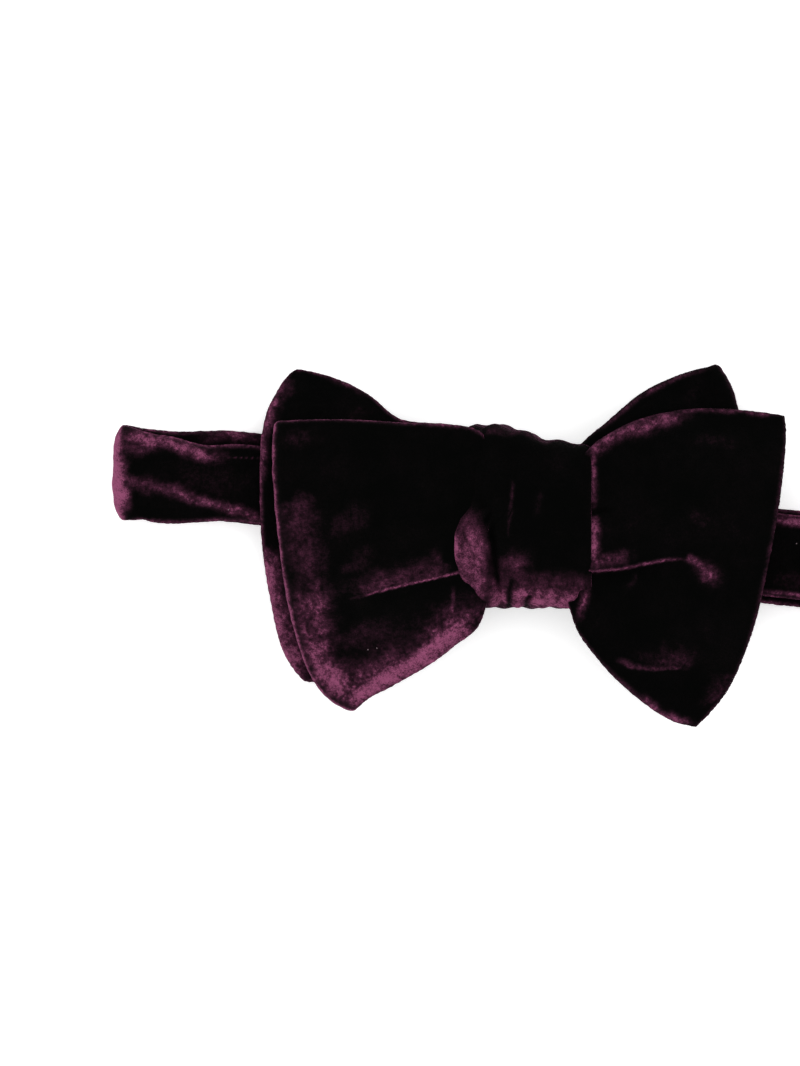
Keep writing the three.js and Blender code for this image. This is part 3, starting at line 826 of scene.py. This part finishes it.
def band_half(name, side, strap_end, strap_lift):
    """Half of the neckband: from behind the knot out to a side fold and back as the strap."""
    front = np.linspace(0.4, FOLD_X, 220)
    turn = np.linspace(0, np.pi, 20)[1:-1]
    back = np.linspace(FOLD_X, side * strap_end, 130)
    station = np.concatenate([front, FOLD_X + FOLD_RADIUS * np.sin(turn), back])
    strap_z = STRAP_Z + (hump(-back) if side < 0 else 0 * back)
    height = np.concatenate([
        np.full(len(front), BAND_Z),
        STRAP_Z + FOLD_RADIUS + FOLD_RADIUS * np.cos(turn),
        strap_z,
    ])
    share = np.concatenate([0 * front, turn / np.pi, 1 + 0 * back])[:, None]
    v = even(64)[None]
    edge_on_axis = side * station
    if side < 0:
        front_low = -BAND_WIDTH / 2 + band_sway(edge_on_axis)
        front_high = front_low + 22 - 2.6 * smooth(-92, -80, edge_on_axis)
        settled = smooth(SLIDER_REST - 10, SLIDER_REST - 18, edge_on_axis)
        lift = (strap_lift + 2 * smooth(-92, -74, edge_on_axis)) * settled
        back_low, back_high = lift - STRAP_WIDTH / 2, lift + STRAP_WIDTH / 2
    else:
        front_low, front_high = (k * BAND_WIDTH / 2 + 0 * station for k in (-1, 1))
        back_low, back_high = (k * STRAP_WIDTH * 1.05 / 2 + strap_lift + 0 * station for k in (-1, 1))
    low = front_low[:, None] * (1 - share) + back_low[:, None] * share
    high = front_high[:, None] * (1 - share) + back_high[:, None] * share
    w = v if side > 0 else 1 - v
    across = low * (1 - w) + high * w
    rounded = 0.5 + CORNER_CUT * np.abs(2 * v - 1) ** 6
    lean = (0.11 * across + side * rounded) * smooth(88, 103, station)[:, None]
    x = side * station[:, None] + 0 * v - lean
    centre = x[..., None] * SPAN_AXIS + across[..., None] * ACROSS_AXIS
    middle = np.concatenate([centre, (height[:, None] + 0 * v)[..., None]], -1)
    near = smooth(0, 1, (np.abs(x) - 58) / 8) * (1 - share)
    px, py = centre[..., 0], centre[..., 1] - BOW_Y
    wx, wy = tousled(middle, 71)
    wx, wy = 0.5 * (wx + px), 0.5 * (wy + py)
    if side < 0:
        ridge = [
            (-101, 21.5), (-94, 20.0), (-88, 18.6), (-82, 17.0),
            (-76, 15.6), (-70, 14.4), (-64, 14.2),
        ]
        spine = [(-103, 9.4), (-96, 9), (-88, 8), (-82, 5.6), (-75, 4), (-69, 0.8), (-64, -2)]
        seam = [(-80, 15.9), (-72, 15.6), (-62, 15.5)]
        folds = stroke(px, py, ridge, 1.8, 1.2) + stroke(px, py, spine, 2.2, 1.0)
        relief = near * (folds + 1.2 * smooth(-96, -103, px))
        # Lighter plum marks: pushed-over pile, with painted sheen on the fold ridges and a painted
        # highlight on the side fold's end.
        crush_and_sheen = strongest([
            near * stroke(wx, wy, ridge[:5], 2.2, 0.70, above=1.9),
            near * stroke(wx, wy, spine[2:], 1.6, 0.54),
            near * stroke(px, py, seam, 0.3, 0.55) * (0.5 + 0.5 * np.sin(4.4 * px)),
            near * stroke(wx, wy, spine[:4], 1.8, 0.40),
            1.0 * smooth(-98.2, -100.6, wx) * (1 - 0.6 * smooth(0.6, 0.9, share)),
            near * 0.40 * bell(wx, wy, (-97, 19.5), (6, 3), 0),
            near * 0.13 * bell(wx, wy, (-80, 9), (14, 7), 0),
            0.62 * share * bell(wx, wy, (-73, 20.8), (7.5, 1.7), -0.06) * (np.abs(x) > 60),
        ])
    else:
        relief = near * 0.5 * bell(x, across, (84, 0), (24, 6))
        # Painted sheen: lighter plum bands along both edges of the strap.
        crush_and_sheen = near * strongest([
            0.72 * np.exp(-(((across - 8.8) / 1.3) ** 2)),
            0.66 * np.exp(-(((across + 9.3) / 0.7) ** 2)),
            0.22 * bell(x, across, (80, -6), (20, 3)),
        ])
    return cloth_solid(name, middle, relief, 0 * relief, crush_and_sheen, (False, True), 0.56)


def band_sway(x):
    """How far the band's front layer lies above its straight line beside the left wings."""
    return (0.7 + 2.7 * smooth(-92, -70, x) + 0.5 * smooth(-94, -101, x)) * smooth(-30, -60, x)


# ---- closure behind the knot --------------------------------------------------------------


def tail_piece(name, start, stop, ends):
    """One length of the strap's end, folded back from the hook: it runs over the strap to the slider
    and turns over the slider's middle bar."""
    bar_top = box_mm("slider")[1][2]
    x = np.linspace(start, stop, max(24, int(abs(stop - start) * 2)))[:, None]
    run = STRIP + 0.3 + TAIL_THICKNESS / 2 + 0.05 + hump(x + 1.0)
    over = bar_top + TAIL_THICKNESS / 2 + 0.1
    z = run + (over - run) * smooth(SLIDER_REST + 3.4, SLIDER_REST + 0.8, x)
    z = z - 1.3 * smooth(SLIDER_REST - 0.9, SLIDER_REST - 2.1, x)
    v = even(30)[None]
    across = (v - 0.5) * TAIL_WIDTH + 0 * x
    centre = (x + 0 * v)[..., None] * SPAN_AXIS + across[..., None] * ACROSS_AXIS
    middle = np.concatenate([centre, (z + 0 * v)[..., None]], -1)
    still = 0 * across
    return cloth_solid(name, middle, still, still, still + 0.15, ends, thickness=TAIL_THICKNESS)


def tape_turn(name, node, side, thickness):
    """Short half turn of tape round a bar that lies across the band."""
    low, high = box_mm(node)
    span = [np.dot(p[:2], SPAN_AXIS) for p in (low, high)]
    depth = (high[2] - low[2] - thickness) / 2
    middle_z = (high[2] + low[2]) / 2
    bar_x = np.mean(span) - side * depth / 2
    angle = np.linspace(0.55 * np.pi, -0.55 * np.pi, 26)[:, None]
    v = even(26)[None]
    x = bar_x + side * depth * np.cos(angle) + 0 * v
    across = side * (2 * v - 1) * TAPE_WIDTH / 2 + 0 * angle
    centre = x[..., None] * SPAN_AXIS + across[..., None] * ACROSS_AXIS
    height = middle_z + depth * np.sin(angle) + 0 * v
    middle = np.concatenate([centre, height[..., None]], -1)
    still = 0 * across
    ends = (False, False)
    return cloth_solid(name, middle, still, still, still + 0.15, ends, thickness=thickness)


def metal_piece(name, node):
    """A fitting in the node's own shape, with its edges rounded as after tumbling and plating."""
    shape = bmesh.new()
    shape.from_mesh(frame["nodes"][node].data)
    bmesh.ops.remove_doubles(shape, verts=shape.verts, dist=1e-6)
    bmesh.ops.dissolve_limit(shape, angle_limit=0.02, verts=shape.verts, edges=shape.edges)
    sharp = [e for e in shape.edges if len(e.link_faces) == 2 and e.calc_face_angle(0) > 0.6]
    bmesh.ops.bevel(
        shape,
        geom=sharp,
        offset=METAL_EDGE * MM,
        segments=3,
        profile=0.5,
        affect="EDGES",
        clamp_overlap=True,
    )
    mesh = bpy.data.meshes.new(name)
    shape.to_mesh(mesh)
    shape.free()
    smooth_faces(mesh)
    mesh.set_sharp_from_angle(angle=math.radians(40))
    return link_object(name, mesh)


def seam_stitches():
    """Slanting hand stitches that close the wrap along the middle of its back."""
    low, high = box_mm("knot_seam_stitches")
    points, faces = [], []
    sides, rings, radius = 8, 9, 0.22
    count, margin = 11, 2.2
    lean, half_length, sag = 0.55, 1.25, 0.55
    for k in range(count):
        centre_x = low[0] + margin + (high[0] - low[0] - 2 * margin) * k / (count - 1)
        first = len(points)
        for i in range(rings):
            t = 2 * i / (rings - 1) - 1
            taper = radius * math.sqrt(max(1 - t**4, 0.02))
            height = KNOT_LOW[2] + 0.05 + sag * t * t
            spine = np.array([centre_x + lean * t, BOW_Y + half_length * t, height])
            for j in range(sides):
                turn = 2 * math.pi * j / sides
                points.append(spine + taper * np.array([math.cos(turn), 0, math.sin(turn)]))
        for i in range(rings - 1):
            for j in range(sides):
                a, b = first + i * sides + j, first + i * sides + (j + 1) % sides
                faces.append((a, a + sides, b + sides, b))
        faces.append(tuple(first + j for j in range(sides)))
        faces.append(tuple(first + (rings - 1) * sides + j for j in reversed(range(sides))))
    mesh = bpy.data.meshes.new("knot_stitches")
    mesh.from_pydata([tuple(p * MM) for p in points], [], faces)
    smooth_faces(mesh)
    return link_object("knot_stitches", mesh)


# ---- build ----------------------------------------------------------------------------------

# For each wing: how it is built, its outline, height, surface, the strength of its painted edge sheen
# and the nodes it stands for.
WINGS = {
    "left_front_wing": (
        loop_piece,
        LEFT_FRONT,
        WING_PITCH,
        left_front_shape,
        0.62,
        plies("left_front_loop") + plies("front_waist") + ["front_loop_root"],
    ),
    "right_front_wing": (
        end_piece,
        RIGHT_FRONT,
        WING_PITCH + LEAF_PITCH,
        right_front_shape,
        0.36,
        plies("right_front_end"),
    ),
    "left_rear_wing": (
        end_piece,
        LEFT_REAR,
        0.0,
        left_rear_shape,
        0.52,
        plies("left_rear_end"),
    ),
    "right_rear_wing": (
        loop_piece,
        RIGHT_REAR,
        0.0,
        right_rear_shape,
        0.22,
        plies("right_rear_loop") + plies("rear_waist") + ["rear_loop_root"],
    ),
}
for body, (build, wing, lift, shape, rim_sheen, nodes) in WINGS.items():
    piece = build(body, wing, lift, shape, rim_sheen)
    finish_piece(piece, VELVET, nodes)
    side = -1 if body.startswith("left") else 1
    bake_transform(piece)

knot = knot_piece()
finish_piece(knot, VELVET, ["knot_velvet", "knot_interlining"])
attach(knot, "knot_and_band")

left_band = band_half("band_left", -1, LEFT_STRAP_END_X, LEFT_STRAP_LIFT)
finish_piece(left_band, VELVET, plies("band") + plies("left_strap") + ["left_side_fold"])
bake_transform(left_band)
right_band = band_half("band_right", 1, RIGHT_STRAP_END_X, RIGHT_STRAP_LIFT)
finish_piece(right_band, VELVET, plies("right_strap") + ["right_side_fold"])
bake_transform(right_band)

TAIL_STOP = box_mm("strap_tail")[1] @ np.array([*SPAN_AXIS, 0]) - 1.2
TURN_STOP = SLIDER_REST + 4           # the tail rides the slider up to here
SLACK_STOP = -17.0                    # and gathers up to here, short of the knot
JOIN = 0.12                           # gap between the tail's lengths, so that they never touch
tail_turn = tail_piece("tail_turn", SLIDER_REST - 2.1, TURN_STOP - JOIN, (True, False))
tail_slack = tail_piece("tail_slack", TURN_STOP, SLACK_STOP - JOIN, (False, False))
tail_flat = tail_piece("tail_flat", SLACK_STOP, TAIL_STOP, (False, True))
for tail in (tail_turn, tail_slack, tail_flat):
    finish_piece(tail, VELVET, ["strap_tail"])
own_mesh(tail_slack)
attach(tail_turn, "slider")
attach(tail_slack, "left_strap")
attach(tail_flat, "left_strap")
for name, node, side, thickness, body in (
    ("hook_tape_turn", "hook_tape", 1, 1.0, "left_strap"),
    ("eye_tape_turn", "eye_tape", -1, 0.6, "right_strap"),
):
    turn = tape_turn(name, node, side, thickness)
    finish_piece(turn, VELVET, [node])
    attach(turn, body)
for name, node, body in (
    ("strap_slider", "slider", "slider"),
    ("strap_hook", "hook", "left_strap"),
    ("strap_eye", "eye_ring", "right_strap"),
):
    fitting = metal_piece(name, node)
    finish_piece(fitting, NICKEL, [node])
    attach(fitting, body)
stitches = seam_stitches()
finish_piece(stitches, THREAD, ["knot_seam_stitches"])
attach(stitches, "knot_and_band")

# ---- floor, light and camera --------------------------------------------------------------------

FRAME_WIDTH = 0.2                     # metres across the picture at the bow's height
FRAME_ASPECT = 1.3325                 # the picture's height over its width
BOW_HEIGHT = 0.012
CAMERA_HEIGHT = 1.6
FLOOR_SIZE = 3.0
FLOOR_GAP = 0.0002                    # keeps the floor's face clear of the cloth that lies on it
VIEW_CENTRE = (-0.03125, -0.00175)


def floor_piece():
    mesh = bpy.data.meshes.new("floor")
    corners = [(-1, -1), (1, -1), (1, 1), (-1, 1)]
    height = CAD_LOW.z - FLOOR_GAP
    points = [(x * FLOOR_SIZE, y * FLOOR_SIZE, height) for x, y in corners]
    mesh.from_pydata(points, [], [(0, 1, 2, 3)])
    floor = link_object("floor", mesh)
    m = Nodes("pale_floor")
    tone = m.ramp(m.noise(3), [(0.2, (0.93, 0.93, 0.93)), (0.8, (0.95, 0.95, 0.95))])
    m.link(tone, m.shader.inputs["Base Color"])
    m.shader.inputs["Roughness"].default_value = 0.9
    m.shader.inputs["Specular IOR Level"].default_value = 0.1
    m.shader.inputs["Emission Color"].default_value = (1, 1, 1, 1)
    m.shader.inputs["Emission Strength"].default_value = 0.35
    mesh.materials.append(m.material)


def area_light(name, place, size, power):
    """Round soft light at a place, aimed at the origin."""
    light = bpy.data.lights.new(name, "AREA")
    light.shape = "DISK"
    light.size = size
    light.energy = power
    lamp = link_object(name, light)
    lamp.location = place
    lamp.rotation_euler = (-Vector(place)).to_track_quat("-Z", "Y").to_euler()


def camera():
    data = bpy.data.cameras.new("camera")
    data.sensor_width = 36.0
    data.lens = data.sensor_width * (CAMERA_HEIGHT - BOW_HEIGHT) / (FRAME_WIDTH * FRAME_ASPECT)
    cam = link_object("camera", data)
    cam.location = (*VIEW_CENTRE, CAMERA_HEIGHT)
    bpy.context.scene.camera = cam


floor_piece()
area_light("overhead", (0.25, 0.35, 1.3), 1.4, 5.0)
area_light("side", (-0.9, -0.5, 0.6), 0.8, 3.0)
world = bpy.data.worlds.new("studio")
world.use_nodes = True
background = world.node_tree.nodes["Background"]
background.inputs["Color"].default_value = (1, 1, 1, 1)
background.inputs["Strength"].default_value = 1.0
bpy.context.scene.world = world
bpy.context.scene.view_settings.view_transform = "Standard"
camera()
